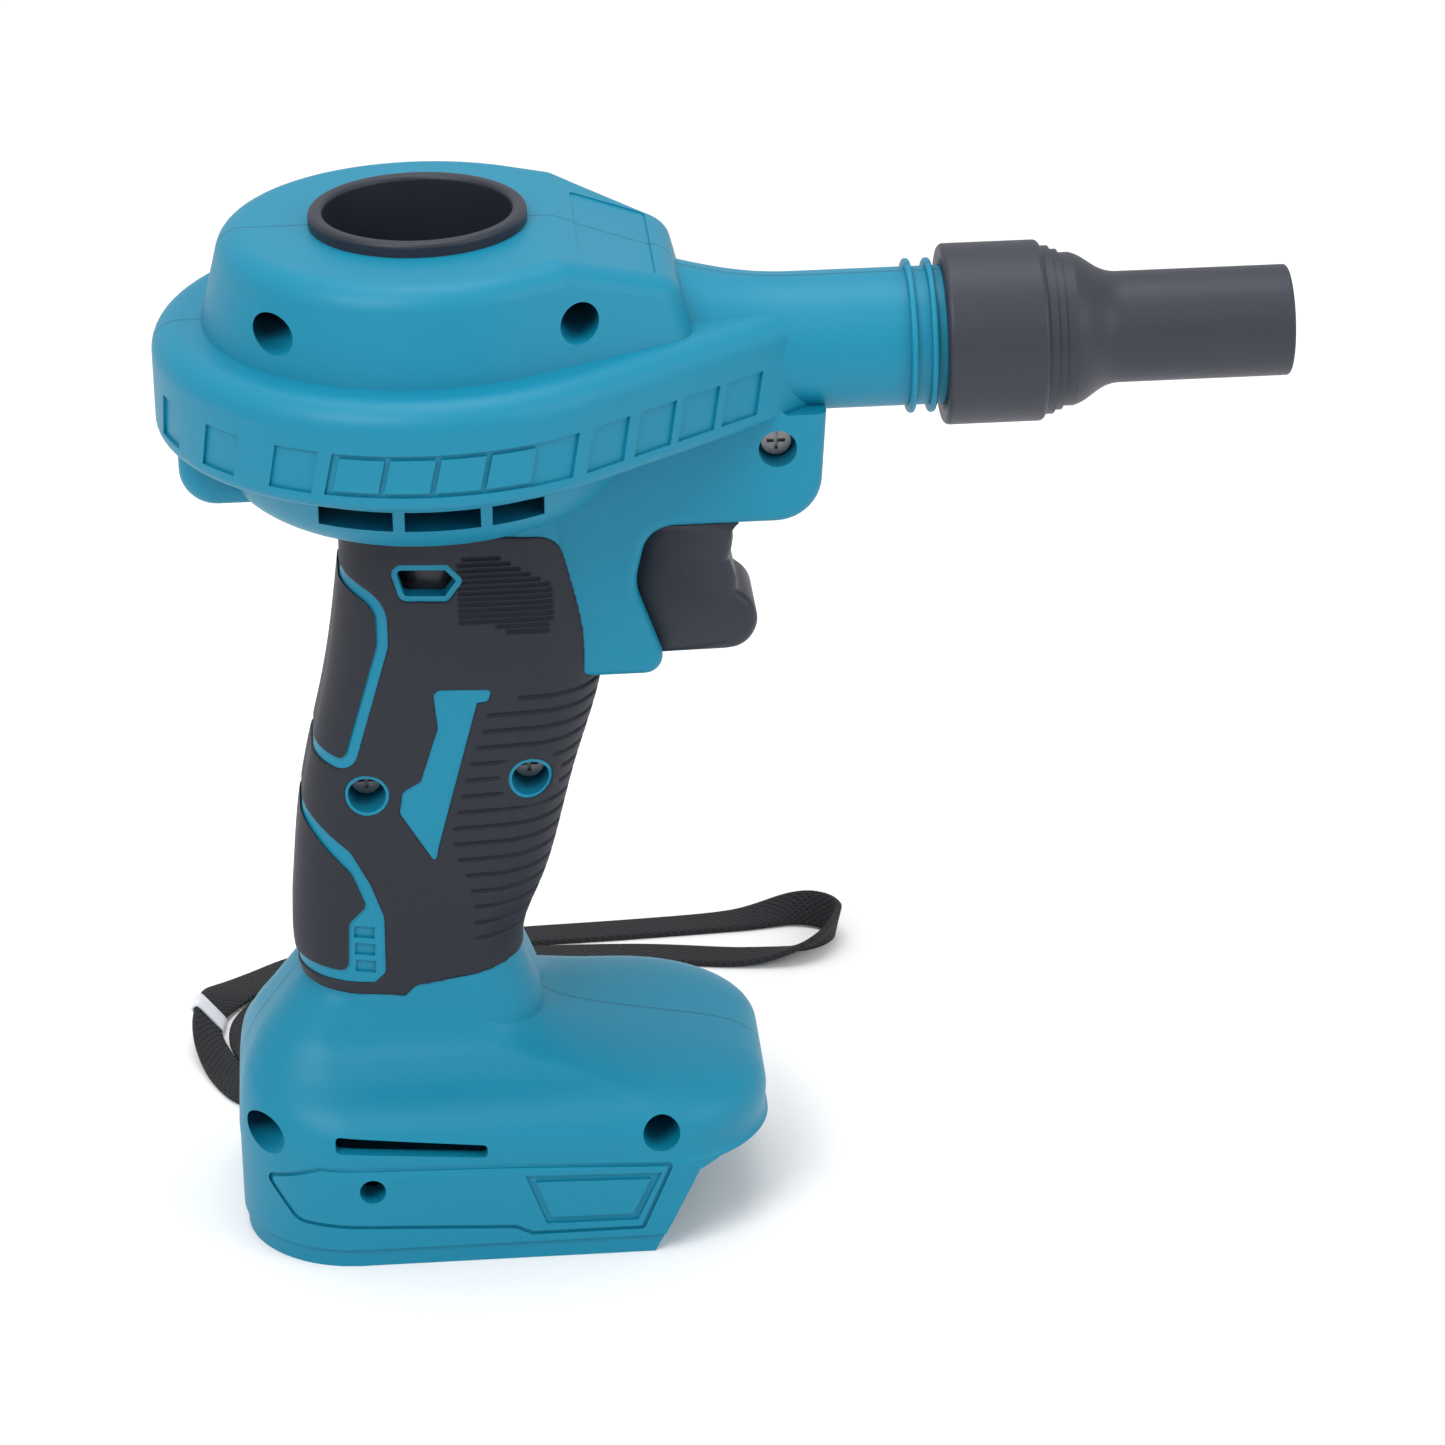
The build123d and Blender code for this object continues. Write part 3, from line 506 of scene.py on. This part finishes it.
def strap_section():
    """Outline of the flat braid across its length."""
    half_width = STRAP_WIDTH / 2
    half_thick = STRAP_THICK / 2
    flat = half_width - STRAP_EDGE
    edge = half_thick * STRAP_EDGE_SHARE
    half_ring = [(width, half_thick) for width in np.linspace(-flat, flat, STRAP_TOP_POINTS)]
    half_ring += [(half_width, edge), (half_width, -edge)]
    return np.array(half_ring + [(-width, -thick) for width, thick in half_ring])


def swell(far, middle, reach):
    """1 at a place along the strap, falling off to 0 on both sides of it."""
    return np.exp(-(((far - middle) / reach) ** 2))


def nearest_to_clip(line):
    """Number of the strap's point that is nearest to the middle of its CAD clip."""
    middle = corners_of("strap_clip").mean(axis=0)
    return int(np.argmin(np.hypot(line[:, 0] - middle[0], line[:, 1] - middle[1])))


def strap_frames():
    """Middle of the strap at places along it, the ways of its width and thickness, and where its clip is."""
    line, far = smooth_line(STRAP_ROUTE, STRAP_STEP)
    at_bend = np.argmax(line[:, 0])
    at_clip = nearest_to_clip(line)
    near_bend = swell(far, far[at_bend], BEND_REACH)
    near_clip = swell(far, far[at_clip], CLIP_REACH)
    lean = np.radians(BEND_LEAN * near_bend + CLIP_LEAN * near_clip)
    upright = np.sin(lean)
    level = np.cos(lean)
    along = np.gradient(line, axis=0)
    along /= np.linalg.norm(along, axis=1)[:, None]
    wide = np.column_stack([-along[:, 1] * level, along[:, 0] * level, upright])
    thick = np.column_stack([along[:, 1] * upright, -along[:, 0] * upright, level])
    lift = STRAP_WIDTH / 2 * np.abs(upright) + STRAP_THICK / 2 * level + CLIP_WALL * near_clip
    centre = np.column_stack([line[:, 0] + FAN_X, line[:, 1], lift])
    return centre, wide, thick, far, at_clip


def map_braid(obj, far, ring):
    """Lays the pattern of the braid along the strap."""
    layer = obj.data.uv_layers.new(name="braid")
    for loop in obj.data.loops:
        place, point = divmod(loop.vertex_index, len(ring))
        layer.data[loop.index].uv = (far[place] / BRAID_UNIT, ring[point][0] / BRAID_UNIT)


def strap_webbing():
    """Flat braid on edge round the far bend, leaning at its clip and flat on the floor elsewhere."""
    centre, wide, thick, far, at_clip = strap_frames()
    ring = strap_section()
    points = centre[:, None] + ring[None, :, :1] * wide[:, None] + ring[None, :, 1:] * thick[:, None]
    faces = capped_tube_faces(len(centre), len(ring))
    obj = add_mesh("strap_webbing", points.reshape(-1, 3) * MM, faces)
    map_braid(obj, far, ring)
    show(obj, WEBBING, "wrist_strap", "housing")
    clip = strap_clip(centre[at_clip], wide[at_clip], thick[at_clip])


def squared(value, power):
    """A sine or cosine raised to a power, with its sign kept."""
    return math.copysign(abs(value) ** power, value)


def clip_ring(gap, wide, thick):
    """Ring round the braid at a gap from it, as steps away from its middle."""
    ring = []
    for angle in np.linspace(0, 2 * math.pi, CLIP_STEPS, endpoint=False):
        sideways = squared(math.cos(angle), CLIP_WIDE_POWER) * (STRAP_WIDTH / 2 + gap)
        upward = squared(math.sin(angle), CLIP_THICK_POWER) * (STRAP_THICK / 2 + gap)
        ring.append(sideways * wide + upward * thick)
    return ring


def strap_clip(centre, wide, thick):
    """Thin band pressed round the braid."""
    half_length = CLIP_LENGTH / 2 * np.cross(wide, thick)
    rings = [(-1, CLIP_GAP), (-1, CLIP_WALL), (1, CLIP_WALL), (1, CLIP_GAP)]
    points = []
    for end, gap in rings:
        for step in clip_ring(gap, wide, thick):
            points.append((centre + end * half_length + step) * MM)
    faces = tube_faces(len(rings), CLIP_STEPS, closed=True)
    obj = add_mesh("strap_band", points, faces)
    show(obj, CLIP, "strap_clip", "housing")
    bevel = obj.modifiers.new("edges", "BEVEL")
    bevel.width = CLIP_BEVEL * MM
    bevel.segments = CLIP_BEVEL_STEPS
    return obj


def area_light(name, place, width, power):
    """Round soft lamp that looks at the object."""
    data = bpy.data.lights.new(name, "AREA")
    data.shape = "DISK"
    data.size = width
    data.energy = power
    lamp = bpy.data.objects.new(name, data)
    bpy.context.scene.collection.objects.link(lamp)
    lamp.location = place
    lamp.rotation_euler = (Vector(LIGHT_TARGET) - Vector(place)).to_track_quat("-Z", "Y").to_euler()


def studio():
    """Pale floor, soft light from above and both sides, pale surroundings."""
    bpy.ops.mesh.primitive_plane_add(size=FLOOR_SIZE, location=(0, 0, 0))
    floor = bpy.context.object
    floor.name = "studio_floor"
    floor.data.materials.append(FLOOR)
    world = bpy.data.worlds.new("pale room")
    world.use_nodes = True
    background = world.node_tree.nodes["Background"]
    background.inputs["Color"].default_value = (1, 1, 1, 1)
    background.inputs["Strength"].default_value = ROOM_BRIGHTNESS
    bpy.context.scene.world = world
    for light in LIGHTS:
        area_light(*light)


def photo_camera():
    """Camera at the place from which the photograph was taken."""
    azimuth = math.radians(CAMERA_AZIMUTH)
    elevation = math.radians(CAMERA_ELEVATION)
    level_back = Vector((math.sin(azimuth), -math.cos(azimuth), 0))
    back = math.cos(elevation) * level_back + Vector((0, 0, math.sin(elevation)))
    right = Vector((math.cos(azimuth), math.sin(azimuth), 0))
    upright = Matrix((right, back.cross(right), back)).transposed().to_4x4()
    roll = Matrix.Rotation(math.radians(CAMERA_ROLL), 4, "Z")
    target = (Vector(CAMERA_TARGET) + Vector((FAN_X, 0, 0))) * MM
    data = bpy.data.cameras.new("photo_camera")
    data.sensor_width = SENSOR_WIDTH
    data.lens = FOCAL_PIXELS / PHOTO_PIXELS * SENSOR_WIDTH
    camera = bpy.data.objects.new("photo_camera", data)
    bpy.context.scene.collection.objects.link(camera)
    camera.matrix_world = Matrix.Translation(target + CAMERA_DISTANCE * MM * back) @ upright @ roll
    bpy.context.scene.camera = camera


finish_nodes()
for side in ("near", "far"):
    grooved_grip("side_grip_" + side)
scalloped_trigger()
strap_webbing()
studio()
photo_camera()
bpy.context.scene.view_settings.view_transform = "Standard"
